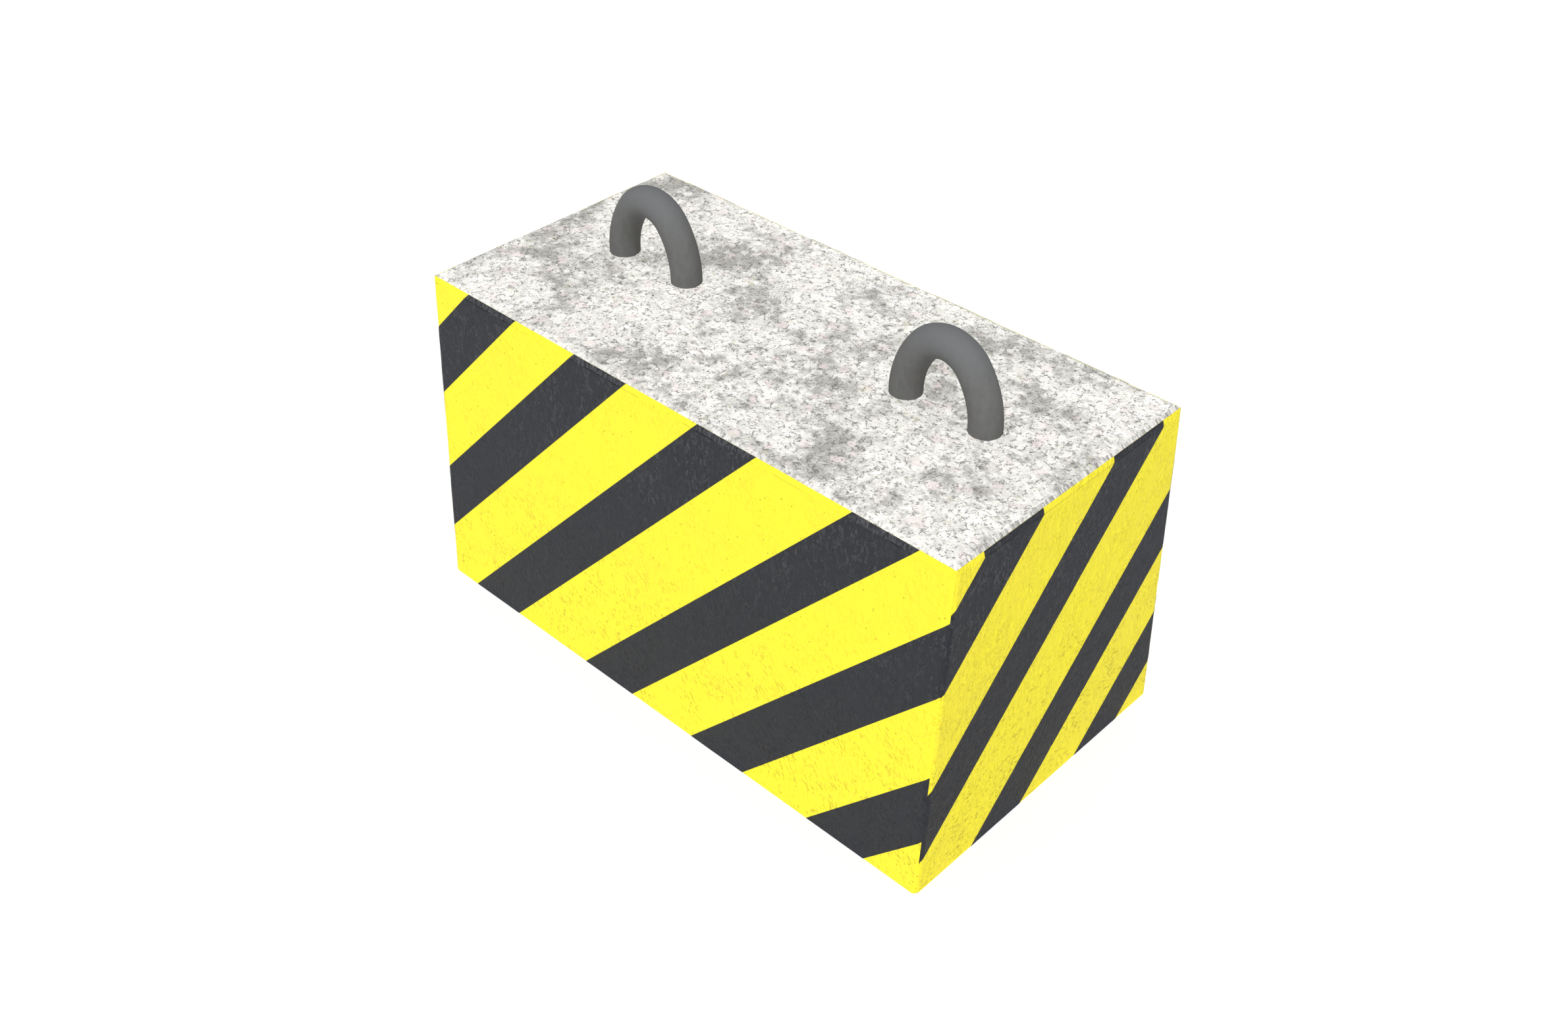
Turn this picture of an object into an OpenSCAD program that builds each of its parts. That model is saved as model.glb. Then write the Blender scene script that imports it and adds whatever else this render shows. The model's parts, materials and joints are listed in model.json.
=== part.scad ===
/* [Block] */
// Length of the block
block_l = 1100; // [1060:10:1300]
// Width of the block at its base
base_w = 600; // [580:10:660]
// Width of the block at its top
top_w = 520; // [500:10:560]
// Height of the concrete
block_h = 600; // [580:10:680]
// How far the rounding of the edges reaches in from the sides
edge_in = 8; // [5:1:12]
// How far the rounding of the top edges reaches down
edge_down = 14; // [8:1:18]

/* [Lifting loops] */
// Diameter of the round lifting bar
loop_d = 52; // [40:1:52]
// Distance from the middle of the block to the middle of each loop
loop_x = 307; // [300:1:312]
// How far the loops stand behind the block's middle line
loop_y = 11; // [0:1:15]
// Distance between the centre lines of a loop's two legs
loop_span = 148; // [142:1:156]
// Height of the crown's centre line above the concrete
loop_rise = 112; // [106:1:120]
// Bend radius of the crown, on the centre line
crown_r = 57; // [54:1:62]
// Height of the feet's centre line above the ground
foot_z = 160; // [140:5:200]
// Straight length of each foot
foot_run = 25; // [10:1:35]
// Diameter of the bars laid across the feet
anchor_d = 16; // [10:1:18]

/* [Cage] */
// Concrete between the links and the mould face
cover = 45; // [40:1:50]
// Diameter of the lengthwise bars
bar_d = 12; // [10:1:14]
// Diameter of the links
link_d = 8; // [6:1:10]
// Diameter of the tie wire
wire_d = 1.6; // [1.2:0.1:2]

/* [Paint] */
// Thickness of the yellow ground coat
coat_t = 0.4; // [0.3:0.1:0.8]
// Thickness of the black bands over it
band_t = 0.3; // [0.2:0.1:0.6]
// Angle of the bands above the horizontal
band_angle = 47; // [40:1:55]

/* [Hidden] */
$fn = 48;

// How a bent bar's pieces join
swell = 0.1;
lap = 1;

// Batter of the long sides
batter_run = (base_w - top_w) / 2;
batter = atan(batter_run / block_h);
function half_w(z) = base_w / 2 - batter_run * z / block_h;

// Edges are rounded in two flats, and the crease between them lies at this share of the reach
bend = 1 - cos(45);
crease_in = bend * edge_in;
paint_top = block_h - bend * edge_down;

// Lifting loop: the arch is a small crown arc between two wider side arcs
leg_above = 4;
foot_bend_r = 75;
arch_rise = loop_rise - leg_above;
half_span = loop_span / 2;
side_r = (pow(half_span, 2) + pow(arch_rise - crown_r, 2) - pow(crown_r, 2)) / (2 * (half_span - crown_r));
side_angle = atan2(arch_rise - crown_r, side_r - half_span);
crown_angle = 180 - 2 * side_angle;
leg_run = block_h + leg_above - foot_z - foot_bend_r;

// Cage: the links follow the block's section at the cover depth
steel_gap = 0.5;
link_bend_r = 2.5 * link_d;
link_z_low = cover + link_d / 2;
link_z_high = block_h - link_z_low;
function link_half_w(z) = half_w(z) - (cover + link_d / 2) / cos(batter);
// Room between a link's centre line and a bar laid flat against it, or in its corner
flat_inset = (link_d + bar_d) / 2 + steel_gap;
corner_slack = link_bend_r - flat_inset;
corner_inset = link_bend_r - corner_slack * cos(45);
bar_l = block_l - 2 * cover;
bottom_middle_z = link_z_low + flat_inset;
bottom_corner_z = link_z_low + corner_inset;
bottom_corner_y = link_half_w(bottom_corner_z) - corner_inset;
side_bar_z = block_h / 2;
side_bar_y = link_half_w(side_bar_z) - flat_inset;
top_corner_z = link_z_high - corner_inset;
top_corner_y = link_half_w(top_corner_z) - corner_inset;
link_pitch = 150;
link_end_x = block_l / 2 - 70;
link_xs = [-link_end_x, -2 * link_pitch, -link_pitch, 0, link_pitch, 2 * link_pitch, link_end_x];

// Anchor bars rest in the inside of the foot bends
anchor_reach = foot_bend_r - loop_d / 2 - anchor_d / 2 - steel_gap;
anchor_dx = half_span + foot_bend_r - anchor_reach * cos(45);
anchor_z = foot_z + foot_bend_r - anchor_reach * sin(45);
anchor_half_l = 215;

// Cover blocks stop just short of the mould faces
block_side = 40;
skin_gap = 1;
cover_block_xs = [link_xs[1], link_xs[5]];
cover_block_y = 120;
side_block_zs = [150, 450];

// Black bands, as where each one starts and ends along its side at mid height
front_bands = [[-734, -616], [-476, -358], [-206, -88], [92, 210], [352, 470], [609, 727]];
end_bands = [[-478, -350], [-187, -65], [121, 242], [385, 501]];
end_band_angle = band_angle - 1;

// The end bands lean up to the rounded top edge, and stand upright on it
end_lean_to = block_h / 2 - edge_down;
far = 2 * block_l;

// One bar bent in a plane, from pieces that are [straight run, 0, 0] or [0, turn, bend radius].
// Every second piece is swell thicker, and the others reach lap into it, so each joint overlaps.
module bent_bar(pieces, d, i = 0) {
    if (i < len(pieces)) {
        run = pieces[i][0];
        turn = pieces[i][1];
        bend_r = pieces[i][2];
        piece_d = i % 2 == 0 ? d : d + swell;
        piece_lap = i % 2 == 0 ? lap : 0;
        if (turn == 0) {
            translate([-piece_lap, 0, 0]) rotate([0, 90, 0]) cylinder(h = run + 2 * piece_lap, d = piece_d);
            translate([run, 0, 0]) bent_bar(pieces, d, i + 1);
        } else {
            side = sign(turn);
            lap_angle = piece_lap / bend_r * 180 / PI;
            start = side > 0 ? -90 - lap_angle : 90 + turn - lap_angle;
            translate([0, side * bend_r, 0]) {
                rotate([0, 0, start]) rotate_extrude(angle = abs(turn) + 2 * lap_angle)
                    translate([bend_r, 0]) circle(d = piece_d);
                rotate([0, 0, turn]) translate([0, -side * bend_r, 0]) bent_bar(pieces, d, i + 1);
            }
        }
    }
}

// The block's outer shape, with every face moved out by grow
module block_shape(grow = 0) {
    half_l = block_l / 2 + grow;
    low_w = half_w(-grow) + grow / cos(batter);
    high_w = half_w(block_h + grow) + grow / cos(batter);
    height = block_h + 2 * grow;
    difference() {
        translate([-half_l, 0, -grow]) rotate([90, 0, 90]) linear_extrude(2 * half_l)
            polygon([[-low_w, 0], [low_w, 0], [high_w, height], [-high_w, height]]);
        four_corners() translate([half_l, low_w, -grow]) rotate([batter, 0, 0])
            edge_cut(edge_in, edge_in, grow);
        both_ends() translate([half_l, 0, block_h + grow]) rotate([90, 0, 0])
            edge_cut(edge_in, edge_down, grow);
        both_sides() translate([0, high_w, block_h + grow]) rotate([0, -90, 0])
            edge_cut(edge_down, edge_in, grow);
    }
}

// A long cutter for an edge along Z between faces that look along +X and +Y. It leaves two flats,
// which reach back from the corner by reach_x along X and by reach_y along Y.
module edge_cut(reach_x, reach_y, grow) {
    facing = [
        atan2((1 - bend) * reach_x, bend * reach_y),
        atan2(bend * reach_x, (1 - bend) * reach_y)
    ];
    depth = [reach_x * cos(facing[0]), reach_y * sin(facing[1])];
    size = 4 * (reach_x + reach_y);
    for (i = [0, 1]) {
        moved_out = grow * (cos(facing[i]) + sin(facing[i]) - 1);
        rotate([0, 0, facing[i]]) translate([-depth[i] - moved_out, -size / 2, -far / 2])
            cube([size, size, far]);
    }
}

module both_ends() {
    children();
    mirror([1, 0, 0]) children();
}

module both_sides() {
    children();
    mirror([0, 1, 0]) children();
}

module four_corners() both_sides() both_ends() children();

// The casting, hollow only where its steel and its cover blocks sit
module concrete_block() color("lightgray") difference() {
    block_shape();
    lifting_loop_left();
    lifting_loop_right();
    cage();
    bottom_cover_blocks();
    side_cover_blocks();
    tie_wires();
}

// All the steel that lies wholly inside the casting
module cage() {
    bottom_bar_front();
    bottom_bar_middle();
    bottom_bar_rear();
    side_bar_front();
    side_bar_rear();
    top_bar_front();
    top_bar_rear();
    for (x = link_xs) link(x);
    for (x_side = [-1, 1], leg_side = [-1, 1]) anchor_bar(x_side * loop_x + leg_side * anchor_dx);
}

// A lifting loop: foot, leg, arch, leg, foot, all one bar
module lifting_loop(x) {
    pieces = [
        [foot_run, 0, 0],
        [0, 90, foot_bend_r],
        [leg_run, 0, 0],
        [0, -side_angle, side_r],
        [0, -crown_angle, crown_r],
        [0, -side_angle, side_r],
        [leg_run, 0, 0],
        [0, 90, foot_bend_r],
        [foot_run, 0, 0]
    ];
    color("dimgray") translate([x - half_span - foot_bend_r - foot_run, loop_y, foot_z])
        rotate([90, 0, 0]) bent_bar(pieces, loop_d);
}

module lifting_loop_left() lifting_loop(-loop_x);
module lifting_loop_right() lifting_loop(loop_x);

// A lengthwise bar at a place in the cross-section
module lengthwise_bar(y, z) color("sienna")
    translate([-bar_l / 2, y, z]) rotate([0, 90, 0]) cylinder(h = bar_l, d = bar_d);

module bottom_bar_front() lengthwise_bar(-bottom_corner_y, bottom_corner_z);
module bottom_bar_middle() lengthwise_bar(0, bottom_middle_z);
module bottom_bar_rear() lengthwise_bar(bottom_corner_y, bottom_corner_z);
module side_bar_front() lengthwise_bar(-side_bar_y, side_bar_z);
module side_bar_rear() lengthwise_bar(side_bar_y, side_bar_z);
module top_bar_front() lengthwise_bar(-top_corner_y, top_corner_z);
module top_bar_rear() lengthwise_bar(top_corner_y, top_corner_z);

// A closed link across the block: bottom, side, top and side, with a bend after each
module link(x) {
    low_turn = 90 + batter;
    high_turn = 90 - batter;
    low_cut = link_bend_r * tan(low_turn / 2);
    high_cut = link_bend_r * tan(high_turn / 2);
    half_bottom = link_half_w(link_z_low) - low_cut;
    half_top = link_half_w(link_z_high) - high_cut;
    side_run = (link_z_high - link_z_low) / cos(batter) - low_cut - high_cut;
    pieces = [
        [2 * half_bottom, 0, 0],
        [0, low_turn, link_bend_r],
        [side_run, 0, 0],
        [0, high_turn, link_bend_r],
        [2 * half_top, 0, 0],
        [0, high_turn, link_bend_r],
        [side_run, 0, 0],
        [0, low_turn, link_bend_r]
    ];
    color("sienna") translate([x, -half_bottom, link_z_low]) rotate([90, 0, 90]) bent_bar(pieces, link_d);
}

module link_1() link(link_xs[0]);
module link_2() link(link_xs[1]);
module link_3() link(link_xs[2]);
module link_4() link(link_xs[3]);
module link_5() link(link_xs[4]);
module link_6() link(link_xs[5]);
module link_7() link(link_xs[6]);

// A short bar across the block, in the inside of one foot bend
module anchor_bar(x) color("sienna")
    translate([x, anchor_half_l, anchor_z]) rotate([90, 0, 0]) cylinder(h = 2 * anchor_half_l, d = anchor_d);

module anchor_bar_left_outer() anchor_bar(-loop_x - anchor_dx);
module anchor_bar_left_inner() anchor_bar(-loop_x + anchor_dx);
module anchor_bar_right_inner() anchor_bar(loop_x - anchor_dx);
module anchor_bar_right_outer() anchor_bar(loop_x + anchor_dx);

// Mortar blocks under the links, which held the cage up off the mould floor
module bottom_cover_blocks() color("darkgray")
    for (x = cover_block_xs, y_side = [-1, 1])
        translate([x - block_side / 2, y_side * cover_block_y - block_side / 2, skin_gap])
            cube([block_side, block_side, cover - skin_gap - steel_gap]);

// Mortar blocks outside the links, which held the cage off the mould sides
module side_cover_blocks() color("darkgray")
    for (x = cover_block_xs, z = side_block_zs) both_sides()
        translate([x - block_side / 2, half_w(z), z]) rotate([batter, 0, 0])
            translate([0, -cover + steel_gap, -block_side / 2])
                cube([block_side, cover - skin_gap - steel_gap, block_side]);

// A ring of tie wire round a lengthwise bar and the link outside it, where the bar is seen from
// the link along the direction that +Z takes when turned by facing about X
module tie_ring(x, bar_at, facing) {
    ring_r = (link_d + bar_d) / 2 + steel_gap + wire_d;
    translate([x, bar_at[0], bar_at[1]]) rotate([facing, 0, 0]) translate([0, 0, -(link_d + steel_gap) / 2])
        rotate([0, 0, 45]) rotate([90, 0, 0]) rotate_extrude($fn = 32)
            translate([ring_r, 0]) circle(d = wire_d, $fn = 16);
}

// One ring at every crossing of a link and a lengthwise bar
module tie_wires() color("slategray") for (x = link_xs) {
    tie_ring(x, [0, bottom_middle_z], 0);
    both_sides() {
        tie_ring(x, [-bottom_corner_y, bottom_corner_z], -45);
        tie_ring(x, [-side_bar_y, side_bar_z], -90 - batter);
        tie_ring(x, [-top_corner_y, top_corner_z], -135);
    }
}

// The part of the outer skin that is painted: from the ground to the crease of the top edges
module painted_zone() translate([-far / 2, -far / 2, 0]) cube([far, far, paint_top]);

// One continuous yellow film round the four sides
module yellow_coat() color("gold") intersection() {
    difference() {
        block_shape(coat_t);
        block_shape();
    }
    painted_zone();
}

// The black film, everywhere that it could lie
module black_film() intersection() {
    difference() {
        block_shape(coat_t + band_t);
        block_shape(coat_t);
    }
    painted_zone();
}

// One side's bands, drawn flat as x along the side and y up from mid height.
// Each one leans up to the height lean_to, and stands upright above it.
module bands(edges, angle, lean_to) {
    reach = 2 * block_h;
    run_down = reach / tan(angle);
    run_up = lean_to / tan(angle);
    for (edge = edges)
        polygon([
            [edge[0] - run_down, -reach], [edge[1] - run_down, -reach],
            [edge[1] + run_up, lean_to], [edge[1] + run_up, reach],
            [edge[0] + run_up, reach], [edge[0] + run_up, lean_to]
        ]);
}

// The bands of the front side, between the creases of the two upright edges
module black_bands_front() color("black") intersection() {
    black_film();
    translate([0, 0, block_h / 2]) rotate([90, 0, 0]) linear_extrude(far) intersection() {
        bands(front_bands, band_angle, block_h);
        square([block_l - 2 * crease_in, 2 * block_h], center = true);
    }
}

// The bands of the right end, between the same creases
module black_bands_right_end() color("black") intersection() {
    black_film();
    translate([block_l / 2 - crease_in, 0, block_h / 2]) rotate([90, 0, 90]) linear_extrude(far)
        bands(end_bands, end_band_angle, end_lean_to);
}

module black_bands_rear() rotate([0, 0, 180]) black_bands_front();
module black_bands_left_end() rotate([0, 0, 180]) black_bands_right_end();

concrete_block();
lifting_loop_left();
lifting_loop_right();
bottom_bar_front();
bottom_bar_middle();
bottom_bar_rear();
side_bar_front();
side_bar_rear();
top_bar_front();
top_bar_rear();
link_1();
link_2();
link_3();
link_4();
link_5();
link_6();
link_7();
anchor_bar_left_outer();
anchor_bar_left_inner();
anchor_bar_right_inner();
anchor_bar_right_outer();
bottom_cover_blocks();
side_cover_blocks();
tie_wires();
yellow_coat();
black_bands_front();
black_bands_rear();
black_bands_left_end();
black_bands_right_end();
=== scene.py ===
"""A precast barrier block: rough concrete, yellow and black hazard paint, two cast-in lifting loops."""

import json
import math

import bmesh
import bpy
import numpy as np
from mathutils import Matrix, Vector


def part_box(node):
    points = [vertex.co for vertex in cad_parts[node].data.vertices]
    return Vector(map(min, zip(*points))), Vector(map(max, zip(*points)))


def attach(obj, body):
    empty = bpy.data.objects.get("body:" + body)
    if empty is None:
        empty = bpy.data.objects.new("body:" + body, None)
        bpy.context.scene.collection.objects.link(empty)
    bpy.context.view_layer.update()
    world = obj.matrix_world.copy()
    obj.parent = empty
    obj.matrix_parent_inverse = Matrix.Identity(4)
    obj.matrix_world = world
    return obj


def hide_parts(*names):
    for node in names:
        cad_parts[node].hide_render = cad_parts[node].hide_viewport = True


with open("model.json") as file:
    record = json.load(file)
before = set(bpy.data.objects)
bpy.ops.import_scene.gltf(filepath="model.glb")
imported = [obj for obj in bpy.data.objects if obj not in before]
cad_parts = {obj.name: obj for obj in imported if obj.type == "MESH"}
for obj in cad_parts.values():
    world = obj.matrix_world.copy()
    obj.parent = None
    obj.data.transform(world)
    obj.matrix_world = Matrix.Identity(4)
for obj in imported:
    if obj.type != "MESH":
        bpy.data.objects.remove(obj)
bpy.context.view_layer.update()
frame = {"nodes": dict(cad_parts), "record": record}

MM = 0.001

# ---------------------------------------------------------------- the block's plain shape

block_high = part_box("concrete_block")[1]
half_l = block_high.x
base_half_w = block_high.y
block_h = block_high.z
top_half_w = 260 * MM
batter = (base_half_w - top_half_w) / block_h

# The upright and the top edges are rounded in two flats: this far in from the sides,
# and this far down from the top
edge_in = 8 * MM
edge_down = 14 * MM
edge_reach = np.array([edge_in, edge_in, edge_down])
half_flat_turn = math.radians(22.5)

# Film thicknesses, and how far a film's rim turns down into what it lies on
coat_lift = 0.4 * MM
band_lift = 0.7 * MM
coat_rim = 1.2 * MM
band_rim = 0.5 * MM

# The concrete under the paint lies this much deeper, so that it never breaks through
hidden_depth = 3 * MM

# Black bands, as where each one starts and ends along its side at mid height, and their lean
front_bands = [(-734, -616), (-476, -358), (-206, -88), (92, 210), (352, 470), (609, 727)]
end_bands = [(-478, -350), (-187, -65), (121, 242), (385, 501)]
front_lean = math.radians(47)
end_lean = math.radians(46)

# The end bands lean up to the rounded top edge, and stand upright on it
end_lean_to = block_h - edge_down

# Points this close to a band's edge count as lying on it
cut_slack = 0.02 * MM

# Size of the surface mesh's cells, and of the concrete's up the sides where paint hides it
cell = 3.4 * MM
hidden_cell = 24 * MM

# Distances below the top: where the concrete's cells turn large, and where its extra depth
# under the paint starts and is full
fine_strip = 34 * MM
cover_from = 16 * MM
cover_full = 26 * MM


def half_width(z):
    """Half the block's width at a height."""
    return base_half_w - batter * z


# ---------------------------------------------------------------- noise on arrays of points

def lattice_random(cells, seed):
    """A repeatable random number from 0 to 1 for each integer cell, given as an (..., 3) array."""
    c = cells.astype(np.int64)
    h = c[..., 0] * 374761393 + c[..., 1] * 668265263 + c[..., 2] * 1440662683 + seed * 974634777
    h = (h ^ (h >> 13)) * 1274126177
    h = (h ^ (h >> 16)) * 1911520717
    h = h ^ (h >> 15)
    return (h & 0xFFFFFF) / float(0x1000000)


def smooth_noise(points, size, seed):
    """Gradient noise from about -1 to 1, with features about one size across."""
    p = points / size
    base = np.floor(p)
    f = p - base
    fade = f * f * f * (f * (f * 6 - 15) + 10)
    total = np.zeros(len(points))
    for corner in np.ndindex(2, 2, 2):
        offset = np.array(corner)
        cell = base + offset
        grad = np.stack([lattice_random(cell, seed + k) * 2 - 1 for k in range(3)], -1)
        dot = (grad * (f - offset)).sum(-1)
        weight = np.prod(np.where(offset == 1, fade, 1 - fade), axis=-1)
        total += dot * weight
    return total * 1.6


def layered_noise(points, size, seed, layers=3, gain=0.5):
    """Several octaves of smooth noise, scaled back to about -1 to 1."""
    total = np.zeros(len(points))
    amount = 1.0
    whole = 0.0
    for k in range(layers):
        total += amount * smooth_noise(points, size / 2 ** k, seed + 17 * k)
        whole += amount
        amount *= gain
    return total / whole * 1.4


def cell_noise(points, size, seed):
    """Distances to the two nearest scattered seeds, in cell sizes, and the nearest one's number."""
    p = points / size
    base = np.floor(p)
    nearest = np.full(len(points), 9.0)
    second = np.full(len(points), 9.0)
    number = np.zeros(len(points))
    for step in np.ndindex(3, 3, 3):
        cell = base + np.array(step) - 1
        spot = cell + np.stack([lattice_random(cell, seed + k) for k in range(3)], -1)
        gap = np.sqrt(((spot - p) ** 2).sum(-1))
        closer = gap < nearest
        second = np.where(closer, nearest, np.minimum(second, gap))
        number = np.where(closer, lattice_random(cell, seed + 3), number)
        nearest = np.where(closer, gap, nearest)
    return nearest, second, number


def ease(low, high, value):
    """0 below low, 1 above high, smooth between."""
    t = np.clip((value - low) / (high - low), 0, 1)
    return t * t * (3 - 2 * t)


# ---------------------------------------------------------------- the block's real surface

def rounded(box_points):
    """Moves points on a plain box to the rounded, battered block. Returns places and outward directions."""
    low = np.array([edge_in - half_l, edge_in - base_half_w, 0.0])
    high = np.array([half_l, base_half_w, block_h]) - edge_reach
    inner = np.clip(box_points, low, high)
    out = box_points - inner
    share = np.sort(np.abs(out) / edge_reach, axis=1)
    out = out / (share[:, 2] + math.tan(half_flat_turn) * share[:, 1])[:, None]
    placed = inner + out
    core = (half_width(placed[:, 2]) - edge_in) / (base_half_w - edge_in)
    placed[:, 1] = inner[:, 1] * core + out[:, 1]
    return placed, lean_outward(out)


def lean_outward(out):
    """Unit directions from steps off the inner box, leaned back with the battered sides."""
    away = out / edge_reach ** 2
    away[:, 2] += np.abs(away[:, 1]) * batter
    return away / np.linalg.norm(away, axis=1)[:, None]


def outward(placed):
    """The outward direction at points that lie on the rounded block."""
    core_half = half_width(placed[:, 2]) - edge_in
    inner = np.stack([
        np.clip(placed[:, 0], edge_in - half_l, half_l - edge_in),
        np.clip(placed[:, 1], -core_half, core_half),
        np.clip(placed[:, 2], 0, block_h - edge_down),
    ], -1)
    return lean_outward(placed - inner)


def bare_depth(points):
    """How deep the rough, bare top lies below the plain shape: flaky lumps, raised stones and pits."""
    swell = layered_noise(points, 110 * MM, 11, 2)
    lumps = layered_noise(points, 24 * MM, 23, 3, 0.6)
    push = np.stack([smooth_noise(points, 13 * MM, 211 + 9 * k) for k in range(3)], -1)
    shaken = points + 4 * MM * push
    near, second, number = cell_noise(shaken, 15 * MM, 31)
    flakes = ease(0.02, 0.16, second - near) * number
    small_near, _, small_number = cell_noise(shaken, 9 * MM, 53)
    grains = ease(0.55, 0.20, small_near) * (small_number > 0.6)
    pits = ease(0.36, 0.14, small_near) * (small_number < 0.08)
    depth = 1.25 * MM + 0.35 * MM * swell + 0.45 * MM * lumps
    depth = depth - 0.75 * MM * flakes - 0.25 * MM * grains + 1.0 * MM * pits
    return np.clip(depth, 0, None)


def cast_depth(points):
    """How deep the moulded sides lie below the plain shape: gentle waves, dents and a few air holes."""
    swell = layered_noise(points, 160 * MM, 71, 2)
    ripple = layered_noise(points, 20 * MM, 83, 3, 0.6)
    worms = np.abs(layered_noise(points, 17 * MM, 97, 2))
    patch = ease(-0.1, 0.5, layered_noise(points, 60 * MM, 101, 2))
    dents = ease(0.09, 0.0, worms) * patch
    near, _, number = cell_noise(points, 18 * MM, 113)
    holes = ease(0.24, 0.10, near) * (number < 0.06)
    depth = 0.5 * MM + 0.2 * MM * swell + 0.12 * MM * ripple + 0.2 * MM * dents + 0.8 * MM * holes
    return np.clip(depth, 0, None)


def edge_wear(placed, away):
    """Extra depth where the crease of an edge is rubbed and chipped."""
    on_edge = ease(0.97, 0.87, np.abs(away).max(-1))
    rub = 0.15 + 0.35 * layered_noise(placed, 40 * MM, 131, 3, 0.6)
    near, _, number = cell_noise(placed, 34 * MM, 139)
    chip = ease(0.42, 0.10, near) * (number < 0.10)
    return on_edge * MM * (np.clip(rub, 0, 1) + 1.3 * chip)


def relief(placed, away):
    """The full depth at points of the plain surface: bare on top, moulded on the sides."""
    top_share = ease(0.40, 0.62, away[:, 2])
    depth = top_share * bare_depth(placed) + (1 - top_share) * cast_depth(placed)
    return depth + edge_wear(placed, away)


# ---------------------------------------------------------------- mesh helpers

def spread(low, high, step):
    """Even places from low to high about one step apart, both ends included."""
    count = max(1, round((high - low) / step))
    return np.linspace(low, high, count + 1)


def rounded_axis(low, high, low_reach, high_reach):
    """Places along one side of the box, with rows at even turns over its rounded ends."""
    turns = 1 - np.tan(np.radians([45, 33.75, 22.5, 11.25]))
    start = low + low_reach * turns if low_reach else []
    end = (high - high_reach * turns)[::-1]
    return np.concatenate([start, spread(low + low_reach, high - high_reach, cell), end])


def grid_quads(rows, columns):
    """Corner numbers of the quads in a grid of points that is stored row by row."""
    i, j = np.meshgrid(np.arange(rows - 1), np.arange(columns - 1), indexing="ij")
    a = (i * columns + j).ravel()
    return np.stack([a, a + 1, a + columns + 1, a + columns], -1)


def make_object(name, mesh, material):
    """A shown piece made of one mesh in one material, which rides on the only body."""
    mesh.materials.clear()
    mesh.materials.append(material)
    obj = bpy.data.objects.new(name, mesh)
    bpy.context.scene.collection.objects.link(obj)
    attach(obj, "root")
    return obj


def smooth_mesh(mesh, sharp_degrees=45):
    """Smooth shading, but for edges sharper than the given angle."""
    mesh.polygons.foreach_set("use_smooth", np.ones(len(mesh.polygons), bool))
    mesh.set_sharp_from_angle(angle=math.radians(sharp_degrees))
    mesh.update()


def mesh_from(name, points, faces):
    """A mesh from arrays, checked."""
    mesh = bpy.data.meshes.new(name)
    mesh.from_pydata(points.tolist(), [], faces)
    mesh.validate()
    return mesh


# Rows of the surface mesh along, across and up the block
long_axis = rounded_axis(-half_l, half_l, edge_in, edge_in)
cross_axis = rounded_axis(-base_half_w, base_half_w, edge_in, edge_in)
up_axis = rounded_axis(0, block_h, 0, edge_down)


# ---------------------------------------------------------------- the concrete

def block_patch(fixed_axis, fixed, first, second, flip):
    """One face of the box as points and quads, with the fixed axis held at one value."""
    u, v = np.meshgrid(first, second, indexing="ij")
    axes = [axis for axis in range(3) if axis != fixed_axis]
    points = np.empty((u.size, 3))
    points[:, fixed_axis] = fixed
    points[:, axes[0]] = u.ravel()
    points[:, axes[1]] = v.ravel()
    quads = grid_quads(len(first), len(second))
    return points, quads[:, ::-1] if flip else quads


def make_concrete(material):
    """The whole casting as one closed mesh: dense and rough on top, plainer where paint hides it."""
    fine_from = block_h - fine_strip
    zs = np.concatenate([spread(0, fine_from, hidden_cell)[:-1], up_axis[up_axis > fine_from]])
    patches = [
        block_patch(2, block_h, long_axis, cross_axis, True),
        block_patch(1, -base_half_w, long_axis, zs, True),
        block_patch(1, base_half_w, long_axis, zs, False),
        block_patch(0, -half_l, cross_axis, zs, False),
        block_patch(0, half_l, cross_axis, zs, True),
    ]
    points = np.concatenate([p for p, _ in patches])
    starts = np.cumsum([0] + [len(p) for p, _ in patches])[:-1]
    quads = np.concatenate([q + s for (_, q), s in zip(patches, starts)])
    keys = np.round(points / (0.01 * MM)).astype(np.int64)
    _, first, renumber = np.unique(keys, axis=0, return_index=True, return_inverse=True)
    box_points = points[first]
    quads = renumber.ravel()[quads]

    placed, away = rounded(box_points)
    covered = ease(block_h - cover_from, block_h - cover_full, placed[:, 2])
    depth = relief(placed, away) + hidden_depth * covered
    final = placed - away * depth[:, None]
    on_ground = box_points[:, 2] == 0
    final[on_ground, 2] = 0

    numbers = np.flatnonzero(on_ground)
    turn = np.arctan2(final[numbers, 1], final[numbers, 0])
    underside = numbers[np.argsort(-turn)].tolist()
    mesh = mesh_from("concrete", final, quads.tolist() + [underside])
    drop_loose(mesh)
    smooth_mesh(mesh)
    return make_object("concrete", mesh, material)


def drop_loose(mesh):
    """Deletes points that no face uses, and turns all faces outward."""
    bm = bmesh.new()
    bm.from_mesh(mesh)
    loose = [v for v in bm.verts if not v.link_faces]
    bmesh.ops.delete(bm, geom=loose, context="VERTS")
    bmesh.ops.recalc_face_normals(bm, faces=bm.faces)
    bm.to_mesh(mesh)
    bm.free()


# ---------------------------------------------------------------- the paint

def band_offset(places, along, lean, lean_to):
    """Where the band line through each place crosses mid height, along the given axis."""
    climbed = np.minimum(places[:, 2], lean_to) - block_h / 2
    return places[:, along] - climbed / math.tan(lean)


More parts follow.
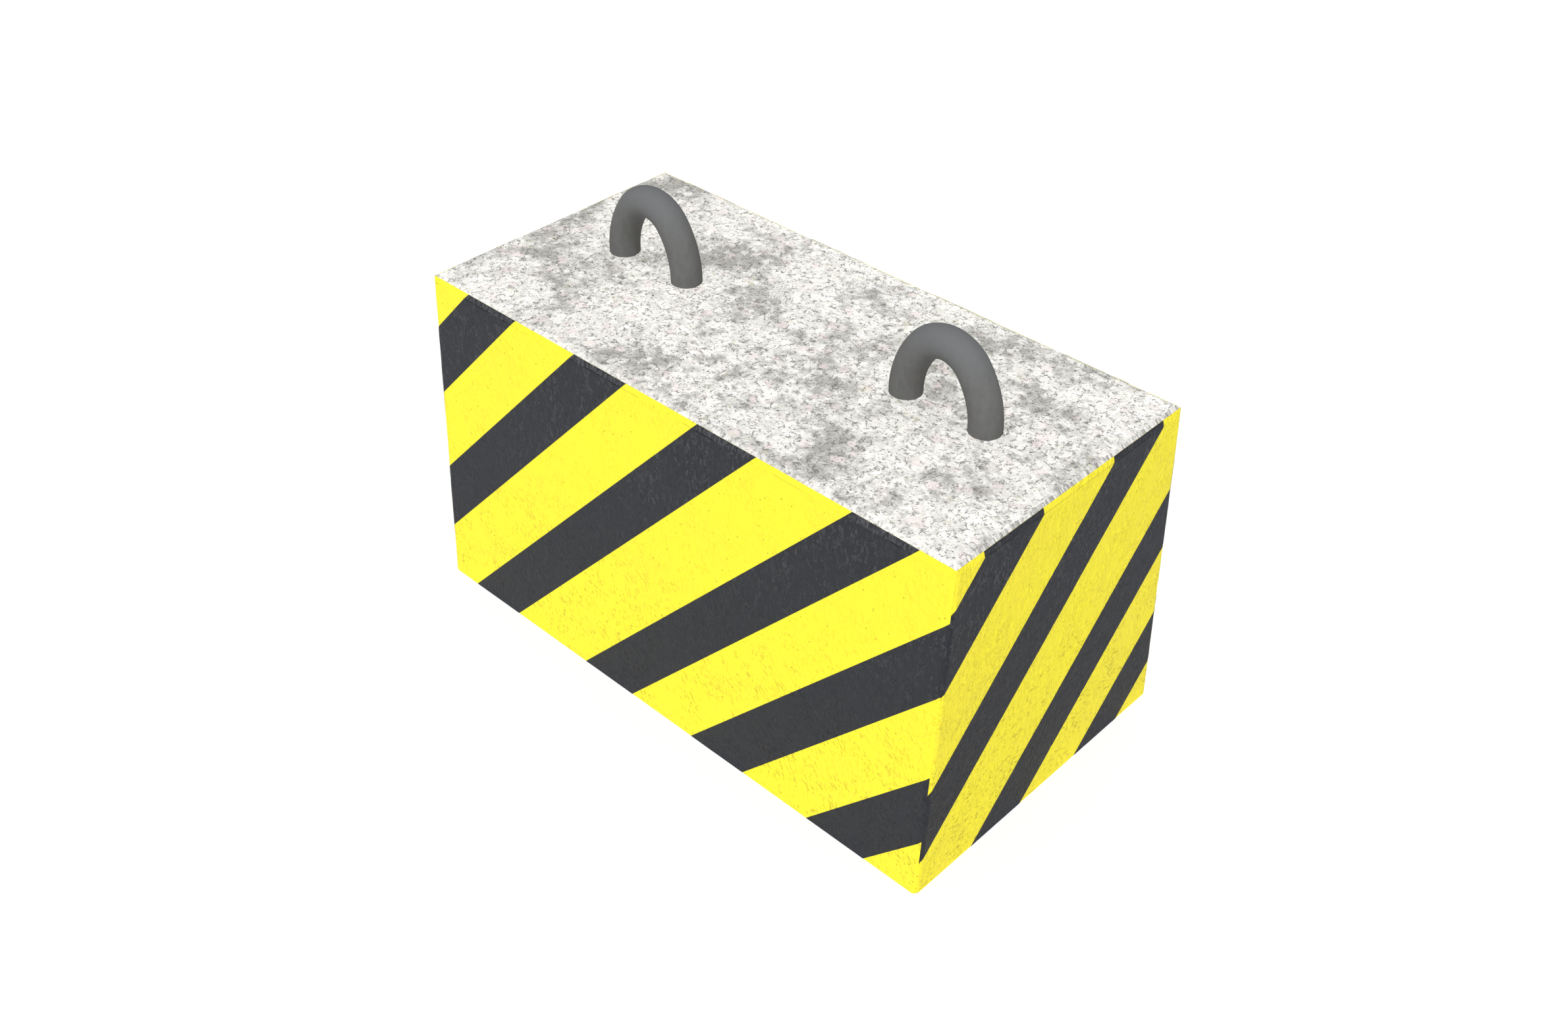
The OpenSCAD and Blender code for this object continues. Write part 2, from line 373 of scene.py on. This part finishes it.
def cut_along_bands(bm, bands, along, lean, lean_to):
    """Cuts the sheet exactly along both edges of every band."""
    bend = Vector((0, 0, lean_to))
    if lean_to < block_h:
        bisect(bm, bm.faces[:], bend, Vector((0, 0, 1)))
    leaning = Vector((0, 0, -1 / math.tan(lean)))
    leaning[along] = 1
    upright = Vector((0, 0, 0))
    upright[along] = 1
    for edge in (side for band in bands for side in band):
        on_line = Vector((0, 0, block_h / 2))
        on_line[along] = edge * MM
        bisect(bm, [f for f in bm.faces if f.calc_center_median().z < lean_to], on_line, leaning)
        on_line[along] += (lean_to - block_h / 2) / math.tan(lean)
        above = [f for f in bm.faces if f.calc_center_median().z > lean_to + cut_slack]
        if above:
            bisect(bm, above, on_line, upright)


def bisect(bm, faces, place, normal):
    """Cuts the given faces with a plane."""
    touched = {v for f in faces for v in f.verts} | {e for f in faces for e in f.edges}
    bmesh.ops.bisect_plane(bm, geom=faces + list(touched), dist=cut_slack, plane_co=place, plane_no=normal)


def film(sheet, keep, lift, rim):
    """A thin film over the kept faces of a sheet, lifted off the surface with its rim turned into it."""
    bm = sheet.copy()
    if keep is not None:
        bm.faces.ensure_lookup_table()
        dropped = [f for f, kept in zip(bm.faces, keep) if not kept]
        bmesh.ops.delete(bm, geom=dropped, context="FACES")
    edges = [e for e in bm.edges if e.is_boundary]
    extruded = bmesh.ops.extrude_edge_only(bm, edges=edges)
    turned_down = {g for g in extruded["geom"] if isinstance(g, bmesh.types.BMVert)}
    placed = np.array([v.co for v in bm.verts])
    drop = np.array([rim if v in turned_down else 0.0 for v in bm.verts])
    away = outward(placed)
    final = placed + away * (lift - drop - relief(placed, away))[:, None]
    final[:, 2] = np.maximum(final[:, 2], 0)
    for vert, place in zip(bm.verts, final):
        vert.co = place
    bmesh.ops.recalc_face_normals(bm, faces=bm.faces)
    mesh = bpy.data.meshes.new("film")
    bm.to_mesh(mesh)
    bm.free()
    smooth_mesh(mesh)
    return mesh


def paint_side(patch, bands, along, lean, lean_to, turned):
    """The yellow and the black film of one side. A turned side is the same on the block's far side."""
    box_points, quads = patch
    placed, _ = rounded(box_points)
    sheet = bmesh.new()
    verts = [sheet.verts.new(p) for p in placed]
    for quad in quads.tolist():
        sheet.faces.new([verts[k] for k in quad])
    cut_along_bands(sheet, bands, along, lean, lean_to)
    centres = np.array([f.calc_center_median() for f in sheet.faces])
    offset = band_offset(centres, along, lean, lean_to) / MM
    in_band = np.zeros(len(centres), bool)
    for start, end in bands:
        in_band |= (offset > start) & (offset < end)
    if turned:
        for vert in sheet.verts:
            vert.co.x = -vert.co.x
            vert.co.y = -vert.co.y
    yellow = film(sheet, None, coat_lift, coat_rim)
    black = film(sheet, in_band, band_lift, band_rim)
    sheet.free()
    return yellow, black


def make_paint():
    """Both films on all four sides. They meet the next side's in the crease of the upright edge."""
    side = block_patch(1, -base_half_w, long_axis, up_axis, True)
    end = block_patch(0, half_l, cross_axis, up_axis, True)
    # Each paint comes in a long-side copy and an end copy with different tones: painted light and shade per
    # face.
    side_paints = (yellow_material("side", 0.5), black_material("side", 0.6))
    end_paints = (yellow_material("end", 1.0), black_material("end", 1.0))
    no_bend = 2 * block_h
    sides = [
        ("front", side, front_bands, 0, front_lean, no_bend, False, side_paints),
        ("rear", side, front_bands, 0, front_lean, no_bend, True, side_paints),
        ("right_end", end, end_bands, 1, end_lean, end_lean_to, False, end_paints),
        ("left_end", end, end_bands, 1, end_lean, end_lean_to, True, end_paints),
    ]
    for name, patch, bands, along, lean, lean_to, turned, paints in sides:
        yellow, black = paint_side(patch, bands, along, lean, lean_to, turned)
        coat = make_object("yellow_coat_" + name, yellow, paints[0])
        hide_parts("yellow_coat")
        stripes = make_object("bands_" + name, black, paints[1])
        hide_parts("black_bands_" + name)


# ---------------------------------------------------------------- the lifting loops

loop_low, loop_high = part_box("lifting_loop_right")
bar_r = (loop_high.y - loop_low.y) / 2

# The bar's centre line, as in the CAD: legs, wide side arcs, a tighter crown and bent feet
half_span = 74 * MM
crown_r = 57 * MM
foot_bend_r = 75 * MM
leg_above = 4 * MM


def arc(centre, radius, start, turn, step):
    """Points (x, z) along an arc, without its first one. Angles are in degrees."""
    count = max(2, math.ceil(math.radians(abs(turn)) * radius / step))
    angles = np.radians(start + turn * np.arange(1, count + 1) / count)
    return [(centre[0] + radius * math.cos(a), centre[1] + radius * math.sin(a)) for a in angles]


def straight(start, end, step):
    """Points (x, z) along a straight run, without its first one."""
    count = max(1, math.ceil(math.dist(start, end) / step))
    run = np.array(end) - np.array(start)
    return [tuple(np.array(start) + run * k / count) for k in range(1, count + 1)]


def half_loop_path(low, high, step):
    """The centre line (x, z) of the right half of a loop about x = 0, from its crown to its foot's end."""
    crown_z = high.z - bar_r
    spring_z = block_h + leg_above
    rise = crown_z - spring_z
    side_r = (half_span ** 2 + (rise - crown_r) ** 2 - crown_r ** 2) / (2 * (half_span - crown_r))
    side_angle = math.degrees(math.atan2(rise - crown_r, side_r - half_span))
    foot_z = low.z + bar_r
    foot_end = (high.x - low.x) / 2
    path = [(0.0, crown_z)]
    path += arc((0, crown_z - crown_r), crown_r, 90, side_angle - 90, step)
    path += arc((half_span - side_r, spring_z), side_r, side_angle, -side_angle, step)
    path += straight(path[-1], (half_span, foot_z + foot_bend_r), step)
    path += arc((half_span + foot_bend_r, foot_z + foot_bend_r), foot_bend_r, 180, 90, step)
    path += straight(path[-1], (foot_end, foot_z), step)
    return path


def make_loop(name, node, material):
    """One bent bar from foot to foot, with a slightly uneven rolled skin."""
    low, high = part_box(node)
    step = 3 * MM
    around = 64
    half = half_loop_path(low, high, step)
    path = np.array([(-x, z) for x, z in half[:0:-1]] + half)
    tangent = np.gradient(path, axis=0)
    tangent /= np.linalg.norm(tangent, axis=1)[:, None]
    side = np.stack([-tangent[:, 1], tangent[:, 0]], -1)
    centre = (low + high) / 2

    angles = np.arange(around) * 2 * math.pi / around
    in_plane = np.stack([side[:, 0], np.zeros(len(path)), side[:, 1]], -1)[:, None, :]
    off_plane = np.array([0.0, 1.0, 0.0])
    away = np.cos(angles)[None, :, None] * in_plane + np.sin(angles)[None, :, None] * off_plane
    centre_y = np.full(len(path), centre.y)
    centres = np.stack([path[:, 0] + centre.x, centre_y, path[:, 1]], -1)[:, None, :]
    skin = (centres + away * bar_r).reshape(-1, 3)
    dip = 0.12 * layered_noise(skin, 18 * MM, 151, 3, 0.6) + 0.1 * layered_noise(skin, 60 * MM, 157, 2)
    radius = bar_r - MM * (0.2 + dip)
    points = (centres + away * radius.reshape(len(path), around, 1)).reshape(-1, 3)

    quads = []
    for ring in range(len(path) - 1):
        for k in range(around):
            a = ring * around + k
            b = ring * around + (k + 1) % around
            quads.append([a, b, b + around, a + around])
    last = (len(path) - 1) * around
    caps = [list(range(around)), list(range(last, last + around))]
    mesh = mesh_from(name, points, quads + caps)
    drop_loose(mesh)
    smooth_mesh(mesh)
    loop = make_object(name, mesh, material)
    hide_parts(node)
    return loop


# ---------------------------------------------------------------- materials

class Shader:
    """A small helper that builds one material around a single Principled BSDF."""

    def __init__(self, name):
        self.material = bpy.data.materials.new(name)
        self.material.use_nodes = True
        self.tree = self.material.node_tree
        self.surface = self.tree.nodes["Principled BSDF"]
        self.place = self.tree.nodes.new("ShaderNodeTexCoord").outputs["Object"]

    def node(self, kind, **settings):
        made = self.tree.nodes.new(kind)
        for key, value in settings.items():
            setattr(made, key, value)
        return made

    def feed(self, socket, value):
        """Links an output into a socket, or sets a plain value on it."""
        if isinstance(value, bpy.types.NodeSocket):
            self.tree.links.new(value, socket)
        else:
            socket.default_value = value

    def stretched(self, x, y, z, turn=(0, 0, 0)):
        """Object coordinates turned by degrees, then scaled: a small factor draws features out."""
        turned = self.node("ShaderNodeMapping", vector_type="POINT")
        self.feed(turned.inputs["Vector"], self.place)
        turned.inputs["Rotation"].default_value = [math.radians(a) for a in turn]
        made = self.node("ShaderNodeVectorMath", operation="MULTIPLY")
        self.feed(made.inputs[0], turned.outputs["Vector"])
        made.inputs[1].default_value = (x, y, z)
        return made.outputs[0]

    def axis(self, name):
        """One object coordinate, in metres."""
        split = self.node("ShaderNodeSeparateXYZ")
        self.feed(split.inputs[0], self.place)
        return split.outputs[name]

    def total(self, *terms):
        """The sum of (output, factor) pairs."""
        running = None
        for value, factor in terms:
            part = self.math("MULTIPLY", value, factor)
            running = part if running is None else self.math("ADD", running, part)
        return running

    def both(self, first, second):
        return self.math("MULTIPLY", first, second)

    def grey(self, value):
        made = self.node("ShaderNodeCombineColor")
        for socket in made.inputs[:3]:
            self.feed(socket, value)
        return made.outputs[0]

    def noise(self, size, detail=3, roughness=0.5, place=None, twist=0.0):
        """Noise from 0 to 1 with features about one size across, in metres."""
        made = self.node("ShaderNodeTexNoise")
        self.feed(made.inputs["Vector"], place or self.place)
        made.inputs["Scale"].default_value = 1 / size
        made.inputs["Detail"].default_value = detail
        made.inputs["Roughness"].default_value = roughness
        made.inputs["Distortion"].default_value = twist
        return made.outputs["Fac"]

    def cells(self, size, feature="F1", output="Distance", place=None):
        """Voronoi cells about one size across, in metres."""
        made = self.node("ShaderNodeTexVoronoi", feature=feature)
        self.feed(made.inputs["Vector"], place or self.place)
        made.inputs["Scale"].default_value = 1 / size
        return made.outputs[output]

    def ramp(self, value, low, high, start=0.0, end=1.0):
        """Maps low..high to start..end smoothly, and holds the ends."""
        made = self.node("ShaderNodeMapRange", interpolation_type="SMOOTHSTEP")
        self.feed(made.inputs["Value"], value)
        made.inputs["From Min"].default_value = low
        made.inputs["From Max"].default_value = high
        made.inputs["To Min"].default_value = start
        made.inputs["To Max"].default_value = end
        return made.outputs["Result"]

    def math(self, operation, first, second=0.0):
        made = self.node("ShaderNodeMath", operation=operation)
        self.feed(made.inputs[0], first)
        self.feed(made.inputs[1], second)
        return made.outputs[0]

    def mix(self, share, first, second, blend="MIX"):
        """Mixes two colours, each a colour tuple or an output."""
        made = self.node("ShaderNodeMix", data_type="RGBA", blend_type=blend)
        self.feed(made.inputs["Factor"], share)
        for socket, value in ((made.inputs[6], first), (made.inputs[7], second)):
            if isinstance(value, tuple):
                value = (*value, 1.0)
            self.feed(socket, value)
        return made.outputs[2]

    def shaken(self, size, amount):
        """Object coordinates pushed about by noise, in metres."""
        made = self.node("ShaderNodeTexNoise")
        self.feed(made.inputs["Vector"], self.place)
        made.inputs["Scale"].default_value = 1 / size
        centred = self.node("ShaderNodeVectorMath", operation="SUBTRACT")
        self.feed(centred.inputs[0], made.outputs["Color"])
        centred.inputs[1].default_value = (0.5, 0.5, 0.5)
        scaled = self.node("ShaderNodeVectorMath", operation="SCALE")
        self.feed(scaled.inputs[0], centred.outputs[0])
        scaled.inputs["Scale"].default_value = amount
        total = self.node("ShaderNodeVectorMath", operation="ADD")
        self.feed(total.inputs[0], self.place)
        self.feed(total.inputs[1], scaled.outputs[0])
        return total.outputs[0]

    def random_in_cell(self, size, place=None):
        """Three random numbers that are the same all over one Voronoi cell."""
        colour = self.cells(size, output="Color", place=place)
        split = self.node("ShaderNodeSeparateColor")
        self.feed(split.inputs[0], colour)
        return split.outputs

    def bump(self, height):
        """Relief from a height in millimetres."""
        made = self.node("ShaderNodeBump")
        made.inputs["Strength"].default_value = 1.0
        made.inputs["Distance"].default_value = MM
        self.feed(made.inputs["Height"], height)
        self.feed(self.surface.inputs["Normal"], made.outputs["Normal"])

    def finish(self, colour, roughness, metallic=0.0, specular=0.5):
        self.surface.inputs["Specular IOR Level"].default_value = specular
        self.feed(self.surface.inputs["Base Color"], colour)
        self.feed(self.surface.inputs["Roughness"], roughness)
        self.surface.inputs["Metallic"].default_value = metallic
        return self.material


def concrete_material():
    """Weathered pale concrete: cloudy greys, flaky lumps, faint tints, and dark crescents, fine edge lines
    and small pits drawn as painted shade.
    """
    s = Shader("concrete")
    clouds = s.noise(150 * MM, 9, 0.66)
    mottles = s.noise(24 * MM, 6, 0.7)
    tone = s.total((clouds, 0.68), (mottles, 0.32))
    colour = s.mix(s.ramp(tone, 0.41, 0.53), (0.46, 0.45, 0.42), (0.91, 0.895, 0.84))

    wander = s.shaken(8 * MM, 11 * MM)
    plate = s.random_in_cell(14 * MM, place=wander)
    flake = s.random_in_cell(6 * MM, place=wander)
    plate_tone = s.ramp(plate[0], 0.0, 1.0, 0.88, 1.12)
    flake_tone = s.ramp(flake[0], 0.0, 1.0, 0.91, 1.08)
    colour = s.mix(0.9, colour, s.grey(s.both(plate_tone, flake_tone)), "MULTIPLY")
    pale = s.both(s.ramp(plate[1], 0.86, 0.90), s.ramp(mottles, 0.38, 0.5))
    colour = s.mix(s.both(pale, 0.6), colour, (0.93, 0.92, 0.90))
    pink = s.both(s.ramp(plate[2], 0.93, 0.96), 0.45)
    colour = s.mix(pink, colour, (0.90, 0.76, 0.74))
    olive = s.both(s.ramp(s.noise(16 * MM, 4, 0.7), 0.60, 0.68), s.ramp(s.noise(90 * MM, 2), 0.50, 0.60))
    colour = s.mix(s.both(olive, 0.45), colour, (0.62, 0.60, 0.33))

    # The dark crescents along the flake edges are painted shade, where the raised flakes shade their rims.
    rim = s.cells(14 * MM, "DISTANCE_TO_EDGE", place=wander)
    rim_zone = s.ramp(s.noise(10 * MM, 3, 0.6), 0.53, 0.60)
    crescents = s.both(s.ramp(rim, 0.10, 0.02), rim_zone)
    colour = s.mix(s.both(crescents, 0.72), colour, (0.17, 0.165, 0.15))
    # Finer dark lines along the small flake edges: more painted shade.
    small_rim = s.cells(6.5 * MM, "DISTANCE_TO_EDGE", place=wander)
    small_zone = s.ramp(s.noise(7 * MM, 3, 0.6), 0.55, 0.61)
    small_crescent_shade = s.both(s.ramp(small_rim, 0.16, 0.04), small_zone)
    colour = s.mix(s.both(small_crescent_shade, 0.62), colour, (0.19, 0.185, 0.17))
    specks = s.ramp(s.noise(3.5 * MM, 3, 0.75), 0.62, 0.72)
    speck_zone = s.ramp(s.noise(40 * MM, 4, 0.6), 0.40, 0.60, 0.15, 1.0)
    colour = s.mix(s.both(specks, s.both(speck_zone, 0.55)), colour, (0.20, 0.20, 0.19))
    # The pits are drawn dark: painted shade in these hollows.
    pit_size = 8 * MM
    pit_pick = s.random_in_cell(pit_size)
    pits = s.both(s.ramp(s.cells(pit_size), 0.20, 0.12), s.ramp(pit_pick[0], 0.26, 0.20))
    colour = s.mix(s.both(pits, 0.5), colour, (0.15, 0.15, 0.145))

    # The bare flats of the rounded edges are streaked across
    end_start = half_l - edge_in
    side_start = top_half_w - edge_in
    fade = 2 * MM
    end_flat = s.ramp(s.math("ABSOLUTE", s.axis("X")), end_start - fade, end_start)
    side_flat = s.ramp(s.math("ABSOLUTE", s.axis("Y")), side_start - fade, side_start)
    across_end = s.noise(5 * MM, 4, 0.65, place=s.stretched(0.08, 1, 0.08, (0, 0, 12)))
    across_side = s.noise(5 * MM, 4, 0.65, place=s.stretched(1, 0.08, 0.08, (0, 0, 12)))
    dark_streak = (0.27, 0.265, 0.25)
    pale_streak = (0.84, 0.82, 0.78)
    end_streaks = s.mix(s.ramp(across_end, 0.36, 0.60), dark_streak, pale_streak)
    side_streaks = s.mix(s.ramp(across_side, 0.30, 0.52), dark_streak, pale_streak)
    colour = s.mix(s.both(side_flat, 0.45), colour, side_streaks)
    colour = s.mix(s.both(end_flat, 0.85), colour, end_streaks)

    height = s.total(
        (plate[0], 0.9), (flake[1], 0.5), (s.noise(5 * MM, 4, 0.7), 2.2), (mottles, 1.5),
        (crescents, -0.7), (small_crescent_shade, -0.6), (specks, -0.5), (pits, -1.2),
    )
    s.bump(height)
    return s.finish(colour, s.ramp(mottles, 0.3, 0.7, 0.95, 0.82), specular=0.2)


def paint_relief(s, strength):
    """What the paint shows of the casting below: wormy wrinkles, pinholes and slanted scratches.

    Returns the wrinkles, their sharper ridges, the brush marks, and the holes and scratches together.
    """
    upright = s.stretched(1, 1, 0.5)
    zone = s.ramp(s.noise(45 * MM, 3, 0.6), 0.40, 0.60, 0.30, 1.0)
    worms = s.noise(6.5 * MM, 2, 0.5, place=upright, twist=0.9)
    wrinkles = s.both(s.ramp(worms, 0.46, 0.57), zone)
    ridges = s.both(s.both(s.ramp(worms, 0.54, 0.58), s.ramp(worms, 0.66, 0.60)), zone)
    brushed = s.noise(2.2 * MM, 2, 0.5, place=s.stretched(1, 1, 0.15))
    hole_size = 10 * MM
    hole_pick = s.random_in_cell(hole_size)
    holes = s.both(s.ramp(s.cells(hole_size), 0.17, 0.08), s.ramp(hole_pick[0], 0.24, 0.20))
    slanted = s.noise(2.8 * MM, 2, 0.5, place=s.stretched(0.3, 0.3, 1, (0, -50, 0)))
    low_down = s.ramp(s.axis("Z"), 0.1 * block_h, 0.8 * block_h, 1.0, 0.25)
    scratch_zone = s.ramp(s.noise(35 * MM, 3, 0.6), 0.38, 0.58, 0.15, 1.0)
    scratches = s.both(s.both(s.ramp(slanted, 0.58, 0.64), low_down), scratch_zone)
    swells = s.noise(22 * MM, 3, 0.5)
    grain = s.noise(4 * MM, 3, 0.6)
    s.bump(s.total(
        (wrinkles, 1.0 * strength), (swells, 1.8 * strength), (grain, 0.7 * strength),
        (brushed, 0.3), (holes, -0.9), (scratches, -0.8),
    ))
    return wrinkles, ridges, brushed, s.math("MAXIMUM", holes, scratches)


def top_arris(s, width):
    """A broken thin line where the sides turn into the rounded top edge."""
    gap = s.math("ABSOLUTE", s.math("SUBTRACT", s.axis("Z"), block_h - edge_down))
    broken = s.ramp(s.noise(60 * MM, 3, 0.6), 0.44, 0.54)
    return s.both(s.ramp(gap, width, 0.3 * width), broken)


def yellow_material(side, strength):
    """Bright yellow masonry paint, toned per face as painted light, with painted olive shade in its wrinkle
    valleys, holes and scratches.
    """
    s = Shader("yellow_paint_" + side)
    wrinkles, _, _, marks = paint_relief(s, strength)
    cloud = s.noise(120 * MM, 4, 0.6)
    # The ends' yellow is toned a little brighter than the long sides': painted light, one paint in two lit
    # copies.
    low_tone, high_tone = {
        "side": ((0.930, 0.810, 0.034), (0.950, 0.845, 0.036)),
        "end": ((0.970, 0.840, 0.034), (0.990, 0.875, 0.036)),
    }[side]
    tone = s.mix(s.ramp(cloud, 0.35, 0.65), low_tone, high_tone)
    # The wrinkles' valleys are drawn darker and olive: painted shade in the hollows.
    low = s.ramp(wrinkles, 0.6, 0.1)
    tone = s.mix(s.both(low, 0.08 * strength), tone, (0.55, 0.44, 0.03))
    # The holes and scratches are drawn dark olive: painted shade in these hollows.
    tone = s.mix(s.both(marks, 0.50), tone, (0.40, 0.29, 0.02))
    tone = s.mix(s.both(top_arris(s, 1.2 * MM), 0.45), tone, (0.35, 0.29, 0.03))
    return s.finish(tone, s.ramp(cloud, 0.3, 0.7, 0.62, 0.74), specular=0.22)


def black_material(side, strength):
    """Flat black masonry paint, toned per face as painted shade, with a painted highlight on the wrinkle
    ridges and streaks on the rounded top edge.
    """
    s = Shader("black_paint_" + side)
    _, ridges, brushed, marks = paint_relief(s, strength)
    # The ends' black is toned darker than the long sides': painted shade, one paint in two lit copies.
    low_tone, high_tone = {
        "side": ((0.0170, 0.0185, 0.0240), (0.0250, 0.0270, 0.0335)),
        "end": ((0.0125, 0.0138, 0.0205), (0.0200, 0.0218, 0.0295)),
    }[side]
    tone = s.mix(s.ramp(brushed, 0.30, 0.70), low_tone, high_tone)
    # The wrinkle ridges are drawn lighter, more so towards the top: a painted highlight.
    ridge_highlight = s.both(ridges, s.ramp(s.axis("Z"), 0.35 * block_h, block_h, 0.15, 0.75))
    tone = s.mix(ridge_highlight, tone, (0.070, 0.073, 0.078))
    on_edge = s.ramp(s.axis("Z"), block_h - edge_down - MM, block_h - edge_down + MM)
    streaks = s.ramp(s.noise(5 * MM, 4, 0.6, place=s.stretched(1, 1, 0.06)), 0.42, 0.66)
    streak_amount = 0.75 if side == "side" else 0.1
    tone = s.mix(s.both(s.both(on_edge, streaks), streak_amount), tone, (0.095, 0.098, 0.102))
    # The holes and scratches are drawn darker still: painted shade in these hollows.
    tone = s.mix(s.both(marks, 0.75), tone, (0.006, 0.006, 0.007))
    tone = s.mix(top_arris(s, 1.4 * MM), tone, (0.006, 0.006, 0.007))
    return s.finish(tone, s.ramp(brushed, 0.3, 0.7, 0.55, 0.68), specular=0.22)


def loop_material():
    """Dull dark grey steel with faint streaks, and a crown drawn a little lighter and bluer as painted
    sheen.
    """
    s = Shader("loop_steel")
    streaks = s.noise(9 * MM, 5, 0.6, place=s.stretched(1, 1, 0.5))
    tone = s.mix(s.ramp(streaks, 0.30, 0.70), (0.124, 0.124, 0.121), (0.144, 0.144, 0.141))
    # The crown is drawn a little lighter and bluer towards the top: painted sheen where it faces up.
    crown = s.ramp(s.axis("Z"), block_h + 50 * MM, loop_high.z - MM)
    tone = s.mix(s.both(crown, 0.75), tone, (0.140, 0.144, 0.150))
    s.bump(s.total((s.noise(3 * MM, 4, 0.6), 0.25), (s.noise(14 * MM, 3, 0.5), 0.5)))
    return s.finish(tone, s.ramp(streaks, 0.3, 0.7, 0.70, 0.82), specular=0.15)


def rusted_material(name, bright, rust, size):
    """Steel with patches of light rust."""
    s = Shader(name)
    patches = s.noise(size, 5, 0.65)
    tone = s.mix(s.ramp(patches, 0.42, 0.60), bright, rust)
    s.bump(s.both(s.noise(size / 6, 3, 0.6), 0.3))
    return s.finish(tone, s.ramp(patches, 0.4, 0.6, 0.5, 0.85), 0.5)


def mortar_material():
    """Plain grey mortar with sandy grain."""
    s = Shader("mortar")
    sand = s.noise(3 * MM, 4, 0.7)
    tone = s.mix(sand, (0.34, 0.33, 0.31), (0.55, 0.54, 0.51))
    s.bump(s.both(sand, 0.5))
    return s.finish(tone, s.ramp(sand, 0.3, 0.7, 0.8, 0.95))


def dress_hidden_nodes():
    """Gives the CAD nodes that stay, all inside the casting, their own materials."""
    cage = rusted_material("cage_steel", (0.20, 0.19, 0.18), (0.24, 0.10, 0.045), 25 * MM)
    wire = rusted_material("tie_wire", (0.22, 0.22, 0.23), (0.15, 0.08, 0.05), 8 * MM)
    mortar = mortar_material()
    by_slot = {"cage_steel": cage, "tie_wire": wire, "mortar": mortar}
    for part in frame["record"]["subparts"]:
        if part["material_slot"] in by_slot:
            mesh = frame["nodes"][part["node"]].data
            mesh.materials.clear()
            mesh.materials.append(by_slot[part["material_slot"]])


# ---------------------------------------------------------------- studio

def make_camera():
    """Looks down on the block's front right corner, a little above its middle."""
    azimuth = math.radians(43.7)
    elevation = math.radians(37.5)
    distance = 4.643 * block_h
    aside = 0.0052 * block_h
    lift = 0.0450 * block_h
    back = Vector((
        math.sin(azimuth) * math.cos(elevation),
        -math.cos(azimuth) * math.cos(elevation),
        math.sin(elevation),
    ))
    right = Vector((math.cos(azimuth), math.sin(azimuth), 0))
    up = back.cross(right)
    centre = Vector((0, 0, block_h / 2))
    aim = centre - right * aside - up * lift
    camera = bpy.data.objects.new("camera", bpy.data.cameras.new("camera"))
    camera.data.sensor_width = 36
    camera.data.lens = 38.77
    camera.location = aim + back * distance
    camera.rotation_mode = "QUATERNION"
    camera.rotation_quaternion = (-back).to_track_quat("-Z", "Y")
    bpy.context.scene.collection.objects.link(camera)
    bpy.context.scene.camera = camera


def make_floor():
    """A plain, nearly white studio floor."""
    s = Shader("floor")
    tone = s.mix(s.noise(0.9, 2, 0.5), (0.93, 0.93, 0.93), (0.95, 0.95, 0.95))
    material = s.finish(tone, 0.9)
    half = 40.0
    corners = np.array([(-half, -half, 0), (half, -half, 0), (half, half, 0), (-half, half, 0)])
    mesh = mesh_from("floor", corners, [[0, 1, 2, 3]])
    mesh.materials.append(material)
    floor = bpy.data.objects.new("floor", mesh)
    bpy.context.scene.collection.objects.link(floor)


def make_light():
    """An even white surround, and one large soft light from high on the front side."""
    world = bpy.data.worlds.new("surround")
    bpy.context.scene.world = world
    world.use_nodes = True
    surround = world.node_tree.nodes["Background"]
    surround.inputs["Color"].default_value = (1, 1, 1, 1)
    surround.inputs["Strength"].default_value = 0.40
    key = bpy.data.lights.new("key", "SUN")
    key.energy = 2.95
    key.angle = math.radians(20)
    key.use_shadow = False
    toward = Vector((0.235, -0.485, 0.842))
    lamp = bpy.data.objects.new("key", key)
    lamp.rotation_mode = "QUATERNION"
    lamp.rotation_quaternion = toward.to_track_quat("Z", "Y")
    bpy.context.scene.collection.objects.link(lamp)
    bpy.context.scene.view_settings.view_transform = "Standard"


# ---------------------------------------------------------------- build

make_camera()
make_floor()
make_light()

concrete = make_concrete(concrete_material())
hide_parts("concrete_block")

make_paint()

steel = loop_material()
make_loop("loop_left", "lifting_loop_left", steel)
make_loop("loop_right", "lifting_loop_right", steel)

dress_hidden_nodes()

bpy.context.view_layer.update()
